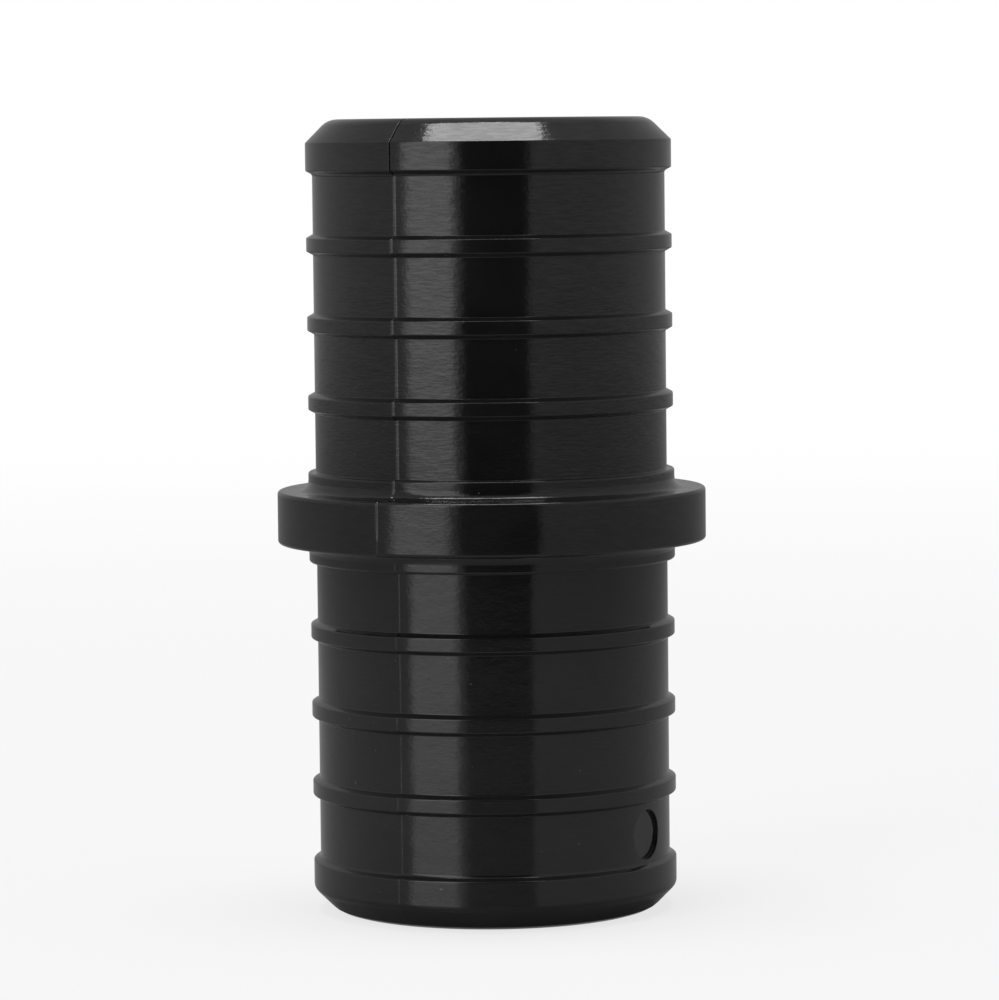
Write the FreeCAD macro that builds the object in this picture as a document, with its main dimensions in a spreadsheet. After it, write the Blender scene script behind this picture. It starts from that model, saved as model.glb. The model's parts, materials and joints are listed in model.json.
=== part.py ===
import FreeCAD, Part
import math
import os

import Sketcher

# Straight insert coupling for one inch plastic water tube, moulded in one piece.
# The axis is Z, the middle of the stop flange is the origin, and the two ends are alike.
# The upper half is drawn, mirrored below, and then bored right through.
# All sizes are in millimetres and all angles in degrees.
SIZES = {
    "total_length": 47.3,
    "bore_dia": 16.6,
    "bore_mouth_round": 0.3,
    # the wall that the tube grips, and the four raised rings around each spigot
    "wall_dia": 21.0,
    "crest_dia": 21.8,
    "lip_root_height": 20.4,
    "lip_crest_height": 20.62,
    "end_chamfer": 1.38,
    "first_rib_height": 6.82,
    "rib_pitch": 4.71,
    "rib_count": 3,
    "rib_root_width": 1.24,
    "rib_crest_width": 0.8,
    "rib_crest_round": 0.1,
    # the low collar that carries each flange face over into the spigot
    "collar_dia": 21.9,
    "collar_height": 2.69,
    "collar_round": 0.14,
    "collar_fillet": 0.6,
    # the flange that both tubes stop against
    "flange_dia": 25.62,
    "flange_thickness": 3.15,
    "flange_round": 0.2,
    # the round mark that a mould pin leaves in the last band of the lower spigot
    "pin_mark_dia": 3.0,
    "pin_mark_depth": 0.28,
    "pin_mark_height": -18.7,
    "pin_mark_azimuth": 59,
}
# How far each ring's section reaches into the wall under it, so that the two join.
OVERLAP = 0.5
# How closely a feature's edge is recognised by its radius and height.
EDGE_TOLERANCE = 0.01


def make_sheet(doc):
    """The spreadsheet of driving dimensions: a name and a number in each row."""
    sheet = doc.addObject("Spreadsheet::Sheet", "sizes")
    for row, (alias, value) in enumerate(SIZES.items(), start=1):
        sheet.set(f"A{row}", alias)
        sheet.set(f"B{row}", str(value))
        sheet.setAlias(f"B{row}", alias)
    doc.recompute()
    return sheet


def origin_feature(body, role):
    """One of the body's own origin planes or axes."""
    return next(feature for feature in body.Origin.OriginFeatures if feature.Role == role)


def new_sketch(body, name, plane):
    """An empty sketch on one of the body's origin planes."""
    sketch = body.newObject("Sketcher::SketchObject", name)
    sketch.AttachmentSupport = [(origin_feature(body, plane), "")]
    sketch.MapMode = "FlatFace"
    return sketch


def bind(sketch, constraint, expression):
    """Add a dimension and drive it from the sheet."""
    index = sketch.addConstraint(constraint)
    sketch.setExpression(f"Constraints[{index}]", expression)


def circle_sketch(body, name, plane, diameter):
    """A circle about the origin, with its diameter driven by one cell."""
    sketch = new_sketch(body, name, plane)
    start = body.evalExpression(f"sizes.{diameter} / 2")
    circle = Part.Circle(FreeCAD.Vector(0, 0, 0), FreeCAD.Vector(0, 0, 1), start)
    sketch.addGeometry(circle)
    sketch.addConstraint(Sketcher.Constraint("Coincident", 0, 3, -1, 1))
    bind(sketch, Sketcher.Constraint("Diameter", 0, 2 * start), f"sizes.{diameter}")
    return sketch


def ring_sketch(body, name, corners):
    """A closed outline beside the axis; each corner is a radius and a height expression."""
    sketch = new_sketch(body, name, "XZ_Plane")
    points = [
        FreeCAD.Vector(body.evalExpression(radius), body.evalExpression(height), 0)
        for radius, height in corners
    ]
    count = len(points)
    for index in range(count):
        sketch.addGeometry(Part.LineSegment(points[index], points[(index + 1) % count]))
    for index in range(count):
        sketch.addConstraint(Sketcher.Constraint("Coincident", index, 2, (index + 1) % count, 1))
    for index, (radius, height) in enumerate(corners):
        at = points[index]
        bind(sketch, Sketcher.Constraint("DistanceX", -1, 1, index, 1, at.x), radius)
        bind(sketch, Sketcher.Constraint("DistanceY", -1, 1, index, 1, at.y), height)
    return sketch


def finish_feature(body, feature):
    """Make a feature the body's tip and bring the document up to date."""
    body.Tip = feature
    body.Document.recompute()
    return feature


def add_pad(body, name, sketch, length):
    """Pad a sketch upwards from the flange's middle plane."""
    pad = body.newObject("PartDesign::Pad", name)
    pad.Profile = sketch
    pad.setExpression("Length", length)
    return finish_feature(body, pad)


def add_ring(body, name, sketch):
    """Turn a section a full circle about the coupling's axis."""
    ring = body.newObject("PartDesign::Revolution", name)
    ring.Profile = sketch
    ring.ReferenceAxis = (sketch, ["V_Axis"])
    ring.Angle = 360
    return finish_feature(body, ring)


def circular_edges(shape, radius, heights):
    """Names of the edges that circle the axis at this radius and at one of these heights."""
    names = []
    for index, edge in enumerate(shape.Edges, start=1):
        curve = edge.Curve
        if not isinstance(curve, Part.Circle):
            continue
        on_radius = abs(curve.Radius - radius) < EDGE_TOLERANCE
        on_axis = math.hypot(curve.Center.x, curve.Center.y) < EDGE_TOLERANCE
        on_height = min(abs(curve.Center.z - height) for height in heights) < EDGE_TOLERANCE
        if on_radius and on_axis and on_height:
            names.append(f"Edge{index}")
    return names


def add_fillet(body, name, radius_cell, rings):
    """Round the circular edges at each (radius, heights) by the radius in one cell."""
    base = body.Tip
    edges = [
        edge
        for radius, heights in rings
        for edge in circular_edges(base.Shape, radius, heights)
    ]
    wanted = sum(len(heights) for _, heights in rings)
    if len(edges) != wanted:
        raise RuntimeError(f"{name}: found {len(edges)} edges and wanted {wanted}")
    fillet = body.newObject("PartDesign::Fillet", name)
    fillet.Base = (base, edges)
    fillet.setExpression("Radius", f"sizes.{radius_cell}")
    return finish_feature(body, fillet)


def add_end_chamfer(body):
    """The 45 degree lead-in that lets the tube slide over the spigot's end."""
    base = body.Tip
    crest = body.evalExpression("sizes.crest_dia / 2")
    end = body.evalExpression("sizes.total_length / 2")
    chamfer = body.newObject("PartDesign::Chamfer", "end_lead_in")
    chamfer.Base = (base, circular_edges(base.Shape, crest, [end]))
    chamfer.setExpression("Size", "sizes.end_chamfer")
    return finish_feature(body, chamfer)


def add_ribs(body):
    """The crimping ribs: one section turned about the axis, then repeated along it."""
    middle = "sizes.first_rib_height"
    root = "sizes.rib_root_width / 2"
    crest = "sizes.rib_crest_width / 2"
    inside = f"sizes.wall_dia / 2 - {OVERLAP}"
    corners = [
        (inside, f"{middle} - {root}"),
        ("sizes.wall_dia / 2", f"{middle} - {root}"),
        ("sizes.crest_dia / 2", f"{middle} - {crest}"),
        ("sizes.crest_dia / 2", f"{middle} + {crest}"),
        ("sizes.wall_dia / 2", f"{middle} + {root}"),
        (inside, f"{middle} + {root}"),
    ]
    rib = add_ring(body, "rib", ring_sketch(body, "rib_section", corners))
    pattern = body.newObject("PartDesign::LinearPattern", "rib_row")
    pattern.Originals = [rib]
    pattern.Direction = (origin_feature(body, "Z_Axis"), [""])
    pattern.setExpression("Length", "sizes.rib_pitch * (sizes.rib_count - 1)")
    pattern.setExpression("Occurrences", "sizes.rib_count")
    return finish_feature(body, pattern)


def add_lip(body):
    """The deeper land at the spigot's end, with a steep flank towards the ribs."""
    inside = f"sizes.wall_dia / 2 - {OVERLAP}"
    corners = [
        (inside, "sizes.lip_root_height"),
        ("sizes.wall_dia / 2", "sizes.lip_root_height"),
        ("sizes.crest_dia / 2", "sizes.lip_crest_height"),
        ("sizes.crest_dia / 2", "sizes.total_length / 2"),
        (inside, "sizes.total_length / 2"),
    ]
    return add_ring(body, "lip", ring_sketch(body, "lip_section", corners))


def add_collar(body):
    """The low collar between the flange face and the spigot's first band."""
    inside = f"sizes.wall_dia / 2 - {OVERLAP}"
    foot = f"sizes.flange_thickness / 2 - {OVERLAP}"
    corners = [
        (inside, foot),
        ("sizes.collar_dia / 2", foot),
        ("sizes.collar_dia / 2", "sizes.collar_height"),
        (inside, "sizes.collar_height"),
    ]
    return add_ring(body, "collar", ring_sketch(body, "collar_section", corners))


def round_upper_half(body):
    """Soften the edges that the mould leaves round."""
    value = body.evalExpression
    crest = value("sizes.crest_dia / 2")
    collar = value("sizes.collar_dia / 2")
    half_crest = value("sizes.rib_crest_width / 2")
    first = value("sizes.first_rib_height")
    pitch = value("sizes.rib_pitch")
    ribs = [first + index * pitch for index in range(int(value("sizes.rib_count")))]
    rib_edges = [height + side * half_crest for height in ribs for side in (-1, 1)]
    rib_edges.append(value("sizes.lip_crest_height"))
    add_fillet(body, "rib_crest_edges", "rib_crest_round", [(crest, rib_edges)])
    face = value("sizes.flange_thickness / 2")
    flange = value("sizes.flange_dia / 2")
    add_fillet(body, "flange_edge", "flange_round", [(flange, [face])])
    add_fillet(body, "collar_edge", "collar_round", [(collar, [value("sizes.collar_height")])])
    add_fillet(body, "collar_foot", "collar_fillet", [(collar, [face])])


def mirror_below(body):
    """Copy the finished upper half to the other side of the flange's middle plane."""
    mirror = body.newObject("PartDesign::Mirrored", "lower_half")
    mirror.TransformMode = "Whole shape"
    mirror.MirrorPlane = (origin_feature(body, "XY_Plane"), [""])
    return finish_feature(body, mirror)


def bore_through(body):
    """The waterway, the same from end to end, with rounded mouths."""
    sketch = circle_sketch(body, "bore_circle", "XY_Plane", "bore_dia")
    bore = body.newObject("PartDesign::Pocket", "bore")
    bore.Profile = sketch
    bore.Type = "ThroughAll"
    bore.SideType = "Symmetric"
    finish_feature(body, bore)
    radius = body.evalExpression("sizes.bore_dia / 2")
    end = body.evalExpression("sizes.total_length / 2")
    add_fillet(body, "bore_mouths", "bore_mouth_round", [(radius, [-end, end])])


def press_pin_mark(body):
    """A shallow round flat sunk square into the lower spigot's wall."""
    sketch = new_sketch(body, "pin_mark_circle", "XZ_Plane")
    turned = FreeCAD.Rotation(FreeCAD.Vector(0, 1, 0), 1)
    sketch.AttachmentOffset = FreeCAD.Placement(FreeCAD.Vector(0, 0, 0), turned)
    sketch.setExpression("AttachmentOffset.Rotation.Angle", "sizes.pin_mark_azimuth")
    floor = "sizes.wall_dia / 2 - sizes.pin_mark_depth"
    azimuth = "sizes.pin_mark_azimuth"
    sketch.setExpression("AttachmentOffset.Base.x", f"({floor}) * sin({azimuth})")
    sketch.setExpression("AttachmentOffset.Base.z", f"({floor}) * cos({azimuth})")
    height = body.evalExpression("sizes.pin_mark_height")
    radius = body.evalExpression("sizes.pin_mark_dia / 2")
    centre = FreeCAD.Vector(0, height, 0)
    sketch.addGeometry(Part.Circle(centre, FreeCAD.Vector(0, 0, 1), radius))
    sketch.addConstraint(Sketcher.Constraint("PointOnObject", 0, 3, -2))
    drop = Sketcher.Constraint("DistanceY", -1, 1, 0, 3, height)
    bind(sketch, drop, "sizes.pin_mark_height")
    bind(sketch, Sketcher.Constraint("Diameter", 0, 2 * radius), "sizes.pin_mark_dia")
    mark = body.newObject("PartDesign::Pocket", "pin_mark")
    mark.Profile = sketch
    mark.Type = "ThroughAll"
    mark.SideType = "One side"
    mark.Reversed = True
    return finish_feature(body, mark)


def make_coupling_body(doc):
    """The whole moulding, from the solid bar to the last rounded edge."""
    body = doc.addObject("PartDesign::Body", "coupling_body")
    body.Label = "coupling_body"
    wall = circle_sketch(body, "wall_circle", "XY_Plane", "wall_dia")
    add_pad(body, "spigot_bar", wall, "sizes.total_length / 2")
    flange = circle_sketch(body, "flange_circle", "XY_Plane", "flange_dia")
    add_pad(body, "flange", flange, "sizes.flange_thickness / 2")
    add_collar(body)
    add_lip(body)
    add_end_chamfer(body)
    add_ribs(body)
    round_upper_half(body)
    mirror_below(body)
    bore_through(body)
    before = body.Shape.Volume
    press_pin_mark(body)
    removed = before - body.Shape.Volume
    print(f"pin mark removed {removed:.3f} mm3")
    if not 0 < removed < math.pi * SIZES["pin_mark_dia"] ** 2 / 4 * SIZES["pin_mark_depth"]:
        raise RuntimeError("the pin mark cuts the wrong side of the wall")
    body.Placement = FreeCAD.Placement()
    return body


def check_document(doc, bodies):
    """Stop if a feature failed or a piece is not one valid solid."""
    for item in doc.Objects:
        if "Invalid" in item.State or "Error" in item.State:
            raise RuntimeError(f"{item.Name} did not build: {item.State}")
    for body in bodies:
        if body.Shape.isNull() or not body.Shape.isValid() or len(body.Shape.Solids) != 1:
            raise RuntimeError(f"{body.Label} is not one valid solid")


def main():
    os.makedirs("parts", exist_ok=True)
    doc = FreeCAD.newDocument("insert_coupling")
    make_sheet(doc)
    bodies = [make_coupling_body(doc)]
    doc.recompute()
    check_document(doc, bodies)
    for body in bodies:
        box = body.Shape.optimalBoundingBox()
        print(f"{body.Label}: {box.XLength:.2f} x {box.YLength:.2f} x {box.ZLength:.2f} mm,")
        print(f"  volume {body.Shape.Volume:.1f} mm3, {len(body.Shape.Faces)} faces")
        body.Shape.exportStep(os.path.join("parts", f"{body.Label}.step"))


main()
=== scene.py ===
"""Straight insert coupling in black moulded plastic, on a pale floor in soft studio light."""
import json
import math

import bpy
from mathutils import Matrix, Vector


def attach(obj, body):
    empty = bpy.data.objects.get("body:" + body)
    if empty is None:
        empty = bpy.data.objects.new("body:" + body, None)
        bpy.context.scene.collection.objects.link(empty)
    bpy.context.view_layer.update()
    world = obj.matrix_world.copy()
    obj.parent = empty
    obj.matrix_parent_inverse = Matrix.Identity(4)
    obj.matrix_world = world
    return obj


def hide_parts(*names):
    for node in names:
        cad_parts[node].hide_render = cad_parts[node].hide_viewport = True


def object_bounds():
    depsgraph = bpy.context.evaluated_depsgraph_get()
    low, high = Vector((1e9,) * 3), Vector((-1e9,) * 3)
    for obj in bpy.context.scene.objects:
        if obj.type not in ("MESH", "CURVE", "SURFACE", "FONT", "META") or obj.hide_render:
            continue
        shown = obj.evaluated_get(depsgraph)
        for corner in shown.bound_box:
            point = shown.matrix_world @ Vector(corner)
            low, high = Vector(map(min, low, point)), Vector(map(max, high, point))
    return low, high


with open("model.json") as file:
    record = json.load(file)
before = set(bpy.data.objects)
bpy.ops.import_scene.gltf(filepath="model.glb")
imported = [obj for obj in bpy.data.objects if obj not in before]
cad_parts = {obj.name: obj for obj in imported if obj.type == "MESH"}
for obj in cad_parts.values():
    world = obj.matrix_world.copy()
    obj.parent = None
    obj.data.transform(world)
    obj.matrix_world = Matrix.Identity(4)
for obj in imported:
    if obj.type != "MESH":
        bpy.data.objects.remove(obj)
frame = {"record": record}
cad_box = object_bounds()
cad_low, cad_high = cad_box
mounts = {mount["name"]: mount for mount in frame["record"]["mounts"]}

MM = 0.001

# Sizes that the frame gives.
HALF_LENGTH = cad_high.z
FLANGE_RADIUS = (cad_high.x - cad_low.x) / 2
BORE_RADIUS = mounts["bore"]["dims"]["r_mm"] * MM
CREST_RADIUS = mounts["upper_spigot"]["dims"]["r_mm"] * MM
STOP_HEIGHT = mounts["upper_stop"]["pos_m"][2]

# Sizes of the moulded section, as in the CAD model.
WALL_RADIUS = 10.5 * MM
COLLAR_RADIUS = 10.95 * MM
COLLAR_HEIGHT = 2.69 * MM
END_CHAMFER = 1.38 * MM
LIP_ROOT_HEIGHT = 20.40 * MM
LIP_CREST_HEIGHT = 20.62 * MM
FIRST_RIB_HEIGHT = 6.82 * MM
RIB_PITCH = 4.71 * MM
RIB_COUNT = 3
RIB_ROOT_WIDTH = 1.24 * MM
RIB_CREST_WIDTH = 0.8 * MM

# Roundings of the section's corners.
MOUTH_ROUND = 0.3 * MM
END_ROUND = 1.3 * MM
UPPER_CHAMFER_ROUND = 0.1 * MM
LOWER_CHAMFER_ROUND = 0.55 * MM
CREST_ROUND = 0.09 * MM
ROOT_ROUND = 0.07 * MM
LIP_FILLET = 0.2 * MM
COLLAR_ROUND = 0.14 * MM
COLLAR_FILLET = 0.6 * MM
FLANGE_ROUND = 0.2 * MM

# The mould parts along a plane through the axis. Azimuth 0 faces -Y, and +X is at 90 degrees.
PARTING_AZIMUTHS = (-31.5, 148.5)
# Along it, down to each height: how far the line stands out, and its half width.
PARTING_LINE = (
    (LIP_ROOT_HEIGHT, -0.11 * MM, 0.034 * MM),
    (0, 0.035 * MM, 0.075 * MM),
    (-1, 0.008 * MM, 0.08 * MM),
)
END_FADE = 0.15 * MM
RIDGE_STEPS = (-1.2, -0.7, -0.45, -0.3, -0.2, -0.12, -0.06, 0, 0.06, 0.12, 0.2, 0.3, 0.45, 0.7, 1.2)
HALVES_JOG = 0.03 * MM
JOG_HALF_WIDTH = 0.06 * MM

# The round mark of a mould pin in the last band of the lower spigot.
PIN_AZIMUTH = 59.0
PIN_HEIGHT = -18.7 * MM
PIN_RADIUS = 1.5 * MM
PIN_DEPTH = 0.28 * MM
# The window that it fills in the turned wall: columns to each side of its middle, the degrees
# between them, and the height left free above and below the mark.
PIN_COLUMNS = 13
PIN_COLUMN_STEP = 0.75
PIN_MARGIN = 0.4 * MM

# How finely the section is turned and divided.
COLUMNS = 240
RIDGE_CLEARANCE = 1.4
ARC_STEP = math.radians(15)
LONGEST_STEP = 1.0 * MM
SAME_RADIUS = 1e-7


def half_corners(chamfer_round):
    """Corners of the upper half's section, from the bore's middle round to the flange's middle.

    Each is a radius, a height and the rounding of that corner.
    """
    end_radius = CREST_RADIUS - END_CHAMFER
    corners = [
        (BORE_RADIUS, 0, 0),
        (BORE_RADIUS, HALF_LENGTH, MOUTH_ROUND),
        (end_radius, HALF_LENGTH, END_ROUND),
        (CREST_RADIUS, HALF_LENGTH - END_CHAMFER, chamfer_round),
        (CREST_RADIUS, LIP_CREST_HEIGHT, CREST_ROUND),
        (WALL_RADIUS, LIP_ROOT_HEIGHT, LIP_FILLET),
    ]
    for index in reversed(range(RIB_COUNT)):
        middle = FIRST_RIB_HEIGHT + index * RIB_PITCH
        corners += [
            (WALL_RADIUS, middle + RIB_ROOT_WIDTH / 2, ROOT_ROUND),
            (CREST_RADIUS, middle + RIB_CREST_WIDTH / 2, CREST_ROUND),
            (CREST_RADIUS, middle - RIB_CREST_WIDTH / 2, CREST_ROUND),
            (WALL_RADIUS, middle - RIB_ROOT_WIDTH / 2, ROOT_ROUND),
        ]
    corners += [
        (WALL_RADIUS, COLLAR_HEIGHT, ROOT_ROUND),
        (COLLAR_RADIUS, COLLAR_HEIGHT, COLLAR_ROUND),
        (COLLAR_RADIUS, STOP_HEIGHT, COLLAR_FILLET),
        (FLANGE_RADIUS, STOP_HEIGHT, FLANGE_ROUND),
        (FLANGE_RADIUS, 0, 0),
    ]
    return corners


def rounded_path(corners):
    """Points along an open path whose corners are rounded, each with its unit normal.

    The normal is to the left of the way along the path.
    """
    path = []
    for index, (x, y, radius) in enumerate(corners):
        here = Vector((x, y))
        if radius == 0:
            other = corners[index + 1] if index == 0 else corners[index - 1]
            way = Vector(other[:2]) - here
            way = (way if index == 0 else -way).normalized()
            path.append((here, Vector((-way.y, way.x))))
            continue
        before = (here - Vector(corners[index - 1][:2])).normalized()
        after = (Vector(corners[index + 1][:2]) - here).normalized()
        turn = math.atan2(before.x * after.y - before.y * after.x, before.dot(after))
        side = math.copysign(1, turn)
        start = here - before * radius * math.tan(abs(turn) / 2)
        normal = Vector((-before.y, before.x))
        centre = start + normal * radius * side
        steps = max(2, math.ceil(abs(turn) / ARC_STEP))
        for step in range(steps + 1):
            spun = Matrix.Rotation(turn * step / steps, 2) @ normal
            path.append((centre - spun * radius * side, spun))
    return path


def divided_path(path):
    """The same path with its long straight runs cut into even steps."""
    points = [path[0]]
    for (start, _), (end, end_normal) in zip(path, path[1:]):
        run = (end - start).length
        parts = max(1, math.ceil(run / LONGEST_STEP))
        way = (end - start).normalized()
        normal = Vector((-way.y, way.x))
        for part in range(1, parts):
            points.append((start.lerp(end, part / parts), normal))
        points.append((end, end_normal))
    return points


def section():
    """The closed section of the whole coupling, as (point, normal, is it outside the bore).

    A point is a radius and a height.
    """
    upper, lower = (
        divided_path(rounded_path(half_corners(chamfer_round)))
        for chamfer_round in (UPPER_CHAMFER_ROUND, LOWER_CHAMFER_ROUND)
    )
    lower = [
        (Vector((point.x, -point.y)), Vector((normal.x, -normal.y)))
        for point, normal in reversed(lower[1:-1])
    ]
    outside_from = BORE_RADIUS + MOUTH_ROUND
    return [
        (point, normal, point.x > outside_from)
        for point, normal in upper + lower
    ]


def wrapped(angle):
    """An angle in degrees brought into -180 to 180."""
    return (angle + 180) % 360 - 180


def columns():
    """The azimuths of the mesh's columns, closer together at the parting lines and the pin mark."""
    keep = []
    for index in range(COLUMNS):
        azimuth = wrapped(index * 360 / COLUMNS)
        near_parting = any(
            abs(wrapped(azimuth - line)) < RIDGE_STEPS[-1] * RIDGE_CLEARANCE
            for line in PARTING_AZIMUTHS
        )
        near_pin = abs(wrapped(azimuth - PIN_AZIMUTH)) < (PIN_COLUMNS + 1) * PIN_COLUMN_STEP
        if not near_parting and not near_pin:
            keep.append(azimuth)
    keep += [line + step for line in PARTING_AZIMUTHS for step in RIDGE_STEPS]
    pin_steps = range(-PIN_COLUMNS, PIN_COLUMNS + 1)
    keep += [PIN_AZIMUTH + step * PIN_COLUMN_STEP for step in pin_steps]
    return sorted(keep)


def placed(radius, azimuth, height):
    """A point at this azimuth, in degrees."""
    angle = math.radians(azimuth)
    return Vector((radius * math.sin(angle), -radius * math.cos(angle), height))


def ridge(azimuth, point):
    """Height of the parting line at this azimuth of a section's point, and its slope along the arc.

    It is a fine ridge on most of the moulding, and a fine groove on the upper lip.
    """
    peak, half_width = next(line[1:] for line in PARTING_LINE if point.y >= line[0])
    peak *= min(1, (HALF_LENGTH - abs(point.y)) / END_FADE)
    height = slope = 0
    for line in PARTING_AZIMUTHS:
        across = math.radians(wrapped(azimuth - line)) * point.x / half_width
        bump = peak * math.exp(-across * across)
        height += bump
        slope -= 2 * across / half_width * bump
    return height, slope


def jog(azimuth):
    """How far the two mould halves are out of line along the axis at this azimuth."""
    step = 0
    for line, sign in zip(PARTING_AZIMUTHS, (1, -1)):
        step += sign * math.tanh(math.radians(wrapped(azimuth - line)) * CREST_RADIUS / JOG_HALF_WIDTH)
    return HALVES_JOG / 4 * step


def surface_point(point, normal, outside, azimuth):
    """A vertex and its normal at one azimuth of the section."""
    if not outside:
        return placed(point.x, azimuth, point.y), placed(normal.x, azimuth, normal.y)
    lift, slope = ridge(azimuth, point)
    raised = point + normal * lift
    inward = min(1, (HALF_LENGTH - abs(point.y)) / END_CHAMFER)
    vertex = placed(raised.x, azimuth, raised.y + jog(azimuth) * inward)
    along = placed(1, azimuth + 90, 0)
    return vertex, (placed(normal.x, azimuth, normal.y) - along * slope).normalized()


def pin_rings(window):
    """Rings of (vertex, normal) that lead from a window's edge down into the pin mark.

    window is the (azimuth, height) of each vertex round the window's edge, in order.
    """
    floor_distance = WALL_RADIUS - PIN_DEPTH
    # Of each ring: its radius, how far down it lies from the rim to the floor, and how far its
    # normal leans from the wall's own to straight across the mark.
    steps = (
        (1.0, 0, 0), (0.994, 0.04, 0.15), (0.991, 0.14, 1), (0.975, 0.88, 1),
        (0.972, 0.96, 0.15), (0.96, 1, 0), (0.8, 1, 0), (0.5, 1, 0), (0.2, 1, 0),
    )
    rings = []
    offsets = [
        Vector((math.radians(azimuth - PIN_AZIMUTH) * WALL_RADIUS, height - PIN_HEIGHT))
        for azimuth, height in window
    ]
    out = placed(1, PIN_AZIMUTH, 0)
    for share, down, lean in steps:
        ring = []
        for offset in offsets:
            at = offset.normalized() * PIN_RADIUS * share
            azimuth = PIN_AZIMUTH + math.degrees(at.x / WALL_RADIUS)
            floor = floor_distance / math.cos(math.radians(azimuth - PIN_AZIMUTH))
            radius = WALL_RADIUS + (floor - WALL_RADIUS) * down
            height = PIN_HEIGHT + at.y + jog(azimuth)
            vertex = placed(radius, azimuth, height)
            sideways = placed(1, azimuth + 90, 0)
            inward = (sideways * -at.x + Vector((0, 0, -at.y))).normalized()
            face = placed(1, azimuth, 0) if down < 0.5 else out
            ring.append((vertex, face.lerp(inward, lean).normalized()))
        rings.append(ring)
    centre = (placed(floor_distance, PIN_AZIMUTH, PIN_HEIGHT + jog(PIN_AZIMUTH)), out)
    return rings, centre


def pin_window(outline, turns):
    """The window round the pin mark: its first and last row, and its first and last column."""
    band = [
        row
        for row, (point, _, outside) in enumerate(outline)
        if outside
        and abs(point.x - WALL_RADIUS) < SAME_RADIUS
        and abs(point.y - PIN_HEIGHT) < PIN_RADIUS + PIN_MARGIN
    ]
    middle = turns.index(PIN_AZIMUTH)
    return band[0], band[-1], middle - PIN_COLUMNS, middle + PIN_COLUMNS


def window_edge(top, bottom, left, right):
    """The (row, column) of each vertex round a window, in order."""
    return (
        [(top, column) for column in range(left, right)]
        + [(row, right) for row in range(top, bottom)]
        + [(bottom, column) for column in range(right, left, -1)]
        + [(row, left) for row in range(bottom, top, -1)]
    )


def coupling_mesh():
    """The coupling as one closed mesh turned from its section, with its pin mark let in."""
    outline = section()
    turns = columns()
    rows, around = len(outline), len(turns)
    points = [surface_point(*spot, azimuth) for spot in outline for azimuth in turns]
    faces = []

    def at(row, column):
        return (row % rows) * around + column % around

    top, bottom, left, right = pin_window(outline, turns)
    for row in range(rows):
        for column in range(around):
            if top <= row < bottom and left <= column < right:
                continue
            corners = [(row, column), (row + 1, column), (row + 1, column + 1), (row, column + 1)]
            faces.append([at(*corner) for corner in corners])

    edge = window_edge(top, bottom, left, right)
    rings, centre = pin_rings([(turns[column], outline[row][0].y) for row, column in edge])
    last = [at(*corner) for corner in edge]
    for ring in rings:
        ids = list(range(len(points), len(points) + len(ring)))
        points += ring
        for here in range(len(ids)):
            after = (here + 1) % len(ids)
            faces.append([last[after], last[here], ids[here], ids[after]])
        last = ids
    hub = len(points)
    points.append(centre)
    for here in range(len(last)):
        faces.append([last[(here + 1) % len(last)], last[here], hub])

    mesh = bpy.data.meshes.new("coupling")
    mesh.from_pydata([vertex for vertex, _ in points], [], faces)
    mesh.validate()
    mesh.polygons.foreach_set("use_smooth", [True] * len(mesh.polygons))
    mesh.normals_split_custom_set_from_vertices([normal for _, normal in points])
    mesh.update()
    return mesh


class Nodes:
    """A short way to add shader nodes and link them."""

    def __init__(self, owner):
        owner.use_nodes = True
        self.tree = owner.node_tree
        self.tree.nodes.clear()

    def add(self, kind, settings=None, **inputs):
        node = self.tree.nodes.new(kind)
        for name, value in (settings or {}).items():
            setattr(node, name, value)
        for name, value in inputs.items():
            self.feed(node, name.replace("_", " "), value)
        return node

    def feed(self, node, socket, value):
        target = node.inputs[socket]
        if isinstance(value, bpy.types.NodeSocket):
            self.tree.links.new(value, target)
        else:
            target.default_value = value

    def math(self, operation, *values):
        node = self.add("ShaderNodeMath", {"operation": operation})
        for index, value in enumerate(values):
            self.feed(node, index, value)
        return node.outputs[0]

    def noise(self, coordinates, scale, detail=2.0, roughness=0.5):
        """Noise from 0 to 1; scale is repeats per metre along x, y and z."""
        mapping = self.add("ShaderNodeMapping", {"vector_type": "POINT"}, Vector=coordinates, Scale=scale)
        node = self.add(
            "ShaderNodeTexNoise",
            Vector=mapping.outputs["Vector"],
            Scale=1.0,
            Detail=detail,
            Roughness=roughness,
        )
        return node.outputs["Fac"]

    def remap(self, value, low, high, to_low, to_high):
        node = self.add(
            "ShaderNodeMapRange",
            {"interpolation_type": "SMOOTHSTEP"},
            Value=value,
            From_Min=low,
            From_Max=high,
            To_Min=to_low,
            To_Max=to_high,
        )
        return node.outputs["Result"]

    def mix(self, factor, first, second):
        """A number between the first and the second."""
        node = self.add("ShaderNodeMix", {"data_type": "FLOAT"})
        for index, value in ((0, factor), (2, first), (3, second)):
            self.feed(node, index, value)
        return node.outputs[0]

    def blend(self, factor, first, second):
        """A mix of two shaders."""
        node = self.add("ShaderNodeMixShader")
        for index, value in enumerate((factor, first.outputs[0], second.outputs[0])):
            self.feed(node, index, value)
        return node


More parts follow.
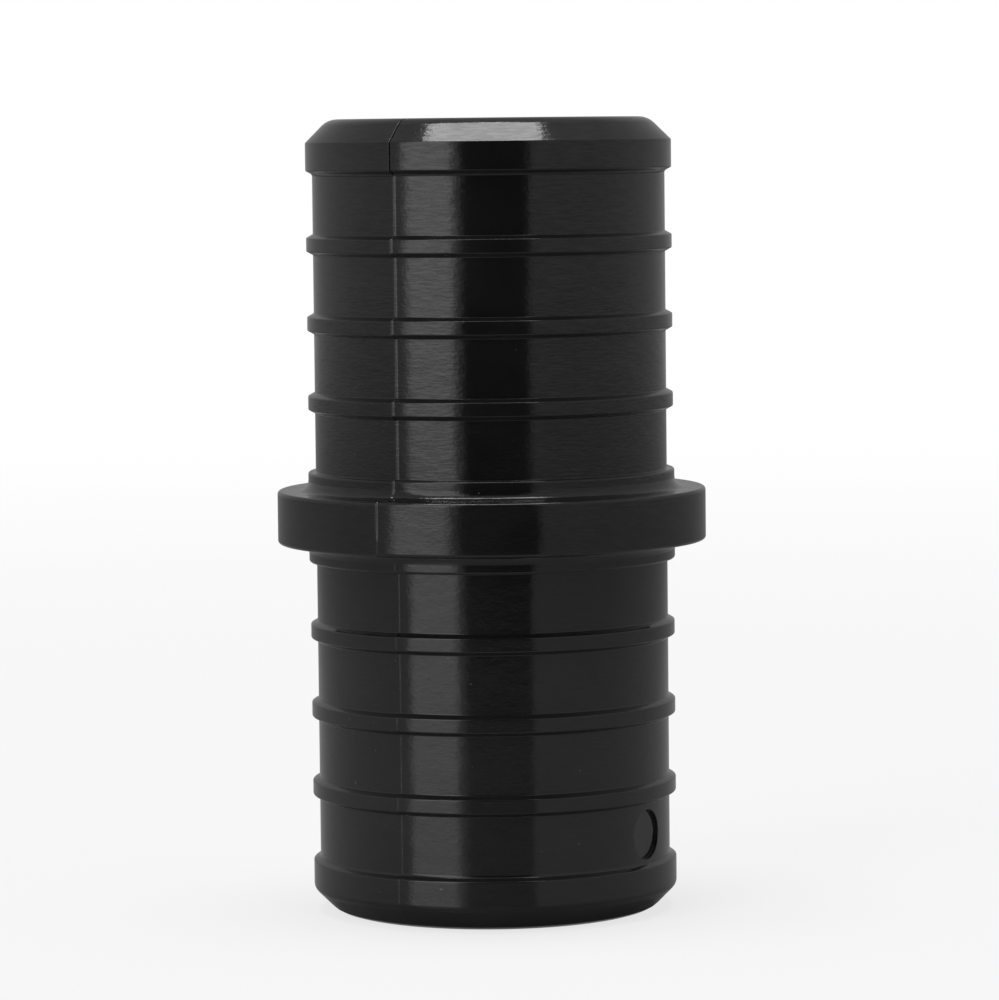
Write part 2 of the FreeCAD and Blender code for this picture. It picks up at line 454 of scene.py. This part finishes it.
def black_polymer():
    """Black moulded plastic: glossy, with fine turning marks from the mould and a few specks.

    The marks fade on the lower half, where the surface is mottled instead.
    """
    material = bpy.data.materials.new("black_polymer")
    nodes = Nodes(material)
    place = nodes.add("ShaderNodeTexCoord").outputs["Object"]
    z = nodes.add("ShaderNodeSeparateXYZ", Vector=place).outputs["Z"]
    fade = (z, -6 * MM, 4 * MM)

    cloud = nodes.noise(place, (260, 260, 260), 4)
    speck = nodes.remap(nodes.noise(place, (3600, 3600, 3600), 1), 0.80, 0.83, 0.0, 1.0)
    colour = nodes.math(
        "ADD",
        nodes.remap(cloud, 0.3, 0.7, 0.0062, 0.0084),
        nodes.math("MULTIPLY", speck, 0.07),
    )

    lines = nodes.remap(nodes.noise(place, (900, 900, 10500), 3, 0.7), 0.34, 0.66, 0.0, 1.0)
    lines = nodes.math("MULTIPLY", lines, nodes.remap(*fade, 0.35, 1.0))
    roughness = nodes.math(
        "ADD",
        nodes.remap(cloud, 0.3, 0.7, 0.08, 0.11),
        nodes.math("MULTIPLY", lines, 0.05),
    )
    tint = nodes.math("SUBTRACT", 1.0, nodes.math("MULTIPLY", lines, 0.27))

    # The relief, in thousandths of a millimetre.
    waves = nodes.math("MULTIPLY", nodes.noise(place, (420, 420, 520), 3), 20.0)
    mottle = nodes.math("MULTIPLY", nodes.noise(place, (1500, 1500, 1900), 3, 0.6), 5.0)
    marks = nodes.noise(place, (1700, 1700, 7600), 3, 0.6)
    marks = nodes.math("MULTIPLY", marks, nodes.remap(*fade, 2.5, 6.5))
    grain = nodes.math("MULTIPLY", nodes.noise(place, (5200, 5200, 5200), 2), 3.0)
    height = nodes.math("ADD", nodes.math("ADD", waves, mottle), nodes.math("ADD", marks, grain))
    bump = nodes.add("ShaderNodeBump", Strength=1.0, Distance=0.001 * MM, Height=height)

    shader = nodes.add(
        "ShaderNodeBsdfPrincipled",
        Base_Color=colour,
        Roughness=roughness,
        IOR=1.53,
        Specular_Tint=tint,
        Normal=bump.outputs["Normal"],
    )
    nodes.add("ShaderNodeOutputMaterial", Surface=shader.outputs[0])
    return material


def add_coupling():
    """The moulding itself, in place of its CAD node."""
    piece = bpy.data.objects.new("coupling", coupling_mesh())
    bpy.context.scene.collection.objects.link(piece)
    piece.data.materials.append(black_polymer())
    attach(piece, "root")
    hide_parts("coupling_body")


# The studio. Levels are radiances, with 1 the white of the backdrop, and angles are azimuths.
FLOOR_RADIUS = 1.6
FLOOR_FADE = (0.10, 0.45)
FLOOR_GLOW = 0.75
# Pale walls, dimmer behind the coupling: they change over WALLS_TURN on either side. A dark flag
# stands on the camera's side, and a tall softbox at the flag's left.
WALLS = (0.46, 0.33)
WALLS_TURN = (90, 150)
FLAG = (-19, 27)
FLAG_EDGE = 3
SOFTBOX = (-58, -20)
SOFTBOX_EDGE = 6
SOFTBOX_LEVEL = 2.1
# The walls end between these elevations, and the ceiling is above them.
TOP_OF_WALLS = (50, 58)
CEILING = 0.44


def backdrop_world():
    """A white backdrop to the eye, and a dimmer studio in the reflections."""
    world = bpy.data.worlds.new("studio")
    bpy.context.scene.world = world
    nodes = Nodes(world)
    ray = nodes.add("ShaderNodeTexCoord").outputs["Generated"]
    split = nodes.add("ShaderNodeSeparateXYZ", Vector=ray)
    x, y, z = (split.outputs[name] for name in "XYZ")
    azimuth = nodes.math("DEGREES", nodes.math("ARCTAN2", x, nodes.math("MULTIPLY", y, -1.0)))
    up = nodes.math("DEGREES", nodes.math("ARCSINE", z))

    def panel(ends, edge):
        """1 between two azimuths and 0 outside, with soft edges."""
        start = nodes.remap(azimuth, ends[0], ends[0] + edge, 0.0, 1.0)
        end = nodes.remap(azimuth, ends[1] - edge, ends[1], 1.0, 0.0)
        return nodes.math("MULTIPLY", start, end)

    walls = nodes.remap(nodes.math("ABSOLUTE", azimuth), *WALLS_TURN, *WALLS)
    walls = nodes.mix(panel(FLAG, FLAG_EDGE), walls, 0.0)
    walls = nodes.mix(panel(SOFTBOX, SOFTBOX_EDGE), walls, SOFTBOX_LEVEL)
    studio = nodes.mix(nodes.remap(up, *TOP_OF_WALLS, 0.0, 1.0), walls, CEILING)
    seen = nodes.add("ShaderNodeLightPath").outputs["Is Camera Ray"]
    reflected = nodes.add("ShaderNodeBackground", Color=(1, 1, 1, 1), Strength=studio)
    backdrop = nodes.add("ShaderNodeBackground", Color=(1, 1, 1, 1), Strength=1.0)
    background = nodes.blend(seen, reflected, backdrop)
    nodes.add("ShaderNodeOutputWorld", Surface=background.outputs[0])


# Reflections see the floor as a plain grey glossy board, dimmer with distance through painted shade: its
# grey falls to black from 8 to 28 cm out.
BOARD_RADIUS = 0.6
BOARD_GLOSS = 0.05
BOARD_GREY = 0.36
BOARD_SHADE_FADE = (0.08, 0.28)


def pale_floor(nodes, far, clear):
    """The floor as the camera sees it: plain and matte, and clear far away and from below."""
    matte = nodes.add("ShaderNodeBsdfDiffuse", Color=(0.85, 0.85, 0.85, 1))
    glow = nodes.add("ShaderNodeEmission", Color=(1, 1, 1, 1), Strength=1.0)
    pale = nodes.blend(FLOOR_GLOW, matte, glow)
    fade = nodes.remap(far, *FLOOR_FADE, 0.0, 1.0)
    under = nodes.add("ShaderNodeNewGeometry").outputs["Backfacing"]
    return nodes.blend(nodes.math("MAXIMUM", fade, under), pale, clear)


def reflected_board(nodes, far, clear):
    """The board that reflections see in its place, with a round hole under the coupling and a painted
    shade that darkens it with distance.
    """
    # Painted shade: the board's grey falls from its full level to black with distance from the coupling.
    grey = nodes.remap(far, *BOARD_SHADE_FADE, BOARD_GREY, 0.0)
    matte = nodes.add("ShaderNodeBsdfDiffuse", Color=grey)
    gloss = nodes.add("ShaderNodeBsdfGlossy", Color=(1, 1, 1, 1), Roughness=BOARD_GLOSS)
    fresnel = nodes.add("ShaderNodeFresnel", IOR=1.5)
    board = nodes.blend(fresnel.outputs[0], matte, gloss)
    beyond = nodes.math("GREATER_THAN", far, BOARD_RADIUS)
    beneath = nodes.math("LESS_THAN", far, CREST_RADIUS - END_CHAMFER)
    return nodes.blend(nodes.math("MAXIMUM", beyond, beneath), board, clear)


def floor_material():
    """A pale floor to the camera, and a board in the reflections."""
    material = bpy.data.materials.new("floor")
    nodes = Nodes(material)
    place = nodes.add("ShaderNodeTexCoord").outputs["Object"]
    split = nodes.add("ShaderNodeSeparateXYZ", Vector=place)
    squares = [nodes.math("POWER", split.outputs[name], 2.0) for name in "XY"]
    far = nodes.math("SQRT", nodes.math("ADD", *squares))
    clear = nodes.add("ShaderNodeBsdfTransparent")
    plain = pale_floor(nodes, far, clear)
    board = reflected_board(nodes, far, clear)
    seen = nodes.add("ShaderNodeLightPath").outputs["Is Camera Ray"]
    final = nodes.blend(seen, board, plain)
    nodes.add("ShaderNodeOutputMaterial", Surface=final.outputs[0])
    return material


def add_floor():
    """A pale floor that fades into the backdrop."""
    mesh = bpy.data.meshes.new("floor")
    sides = 96
    rim = [placed(FLOOR_RADIUS, 360 * side / sides, cad_low.z) for side in range(sides)]
    mesh.from_pydata(rim, [], [list(range(sides))])
    floor = bpy.data.objects.new("floor", mesh)
    bpy.context.scene.collection.objects.link(floor)
    mesh.materials.append(floor_material())
    floor.visible_shadow = False


OVERHEAD_CENTRE = (-0.02, 0.03, 0.8)
OVERHEAD_SIZE = (0.52, 0.26)
OVERHEAD_LEVEL = 6.5


def add_overhead():
    """A wide soft light that hangs over the coupling and faces straight down."""
    data = bpy.data.lights.new("overhead", "AREA")
    data.shape = "RECTANGLE"
    data.size, data.size_y = OVERHEAD_SIZE
    data.energy = OVERHEAD_LEVEL * math.pi * data.size * data.size_y
    light = bpy.data.objects.new("overhead", data)
    bpy.context.scene.collection.objects.link(light)
    light.location = OVERHEAD_CENTRE
    light.visible_camera = False


# The camera: its distance and height are from the coupling's middle.
CAMERA_DISTANCE = 291 * MM
CAMERA_HEIGHT = 22.9 * MM
CAMERA_LENS = 175.4
CAMERA_ROLL = math.radians(-0.6)
AIM = Vector((0.47 * MM, 0, 0.82 * MM))


def add_camera():
    """A long lens a little above the coupling's middle, aimed close to it."""
    data = bpy.data.cameras.new("camera")
    data.lens = CAMERA_LENS
    data.sensor_width = 36
    data.clip_start, data.clip_end = 0.01, 20
    camera = bpy.data.objects.new("camera", data)
    bpy.context.scene.collection.objects.link(camera)
    camera.location = (0, -CAMERA_DISTANCE, CAMERA_HEIGHT)
    camera.rotation_mode = "QUATERNION"
    look = (AIM - camera.location).to_track_quat("-Z", "Y")
    camera.rotation_quaternion = look @ Matrix.Rotation(CAMERA_ROLL, 3, "Z").to_quaternion()
    bpy.context.scene.camera = camera


bpy.context.scene.view_settings.view_transform = "Standard"
add_coupling()
backdrop_world()
add_floor()
add_overhead()
add_camera()
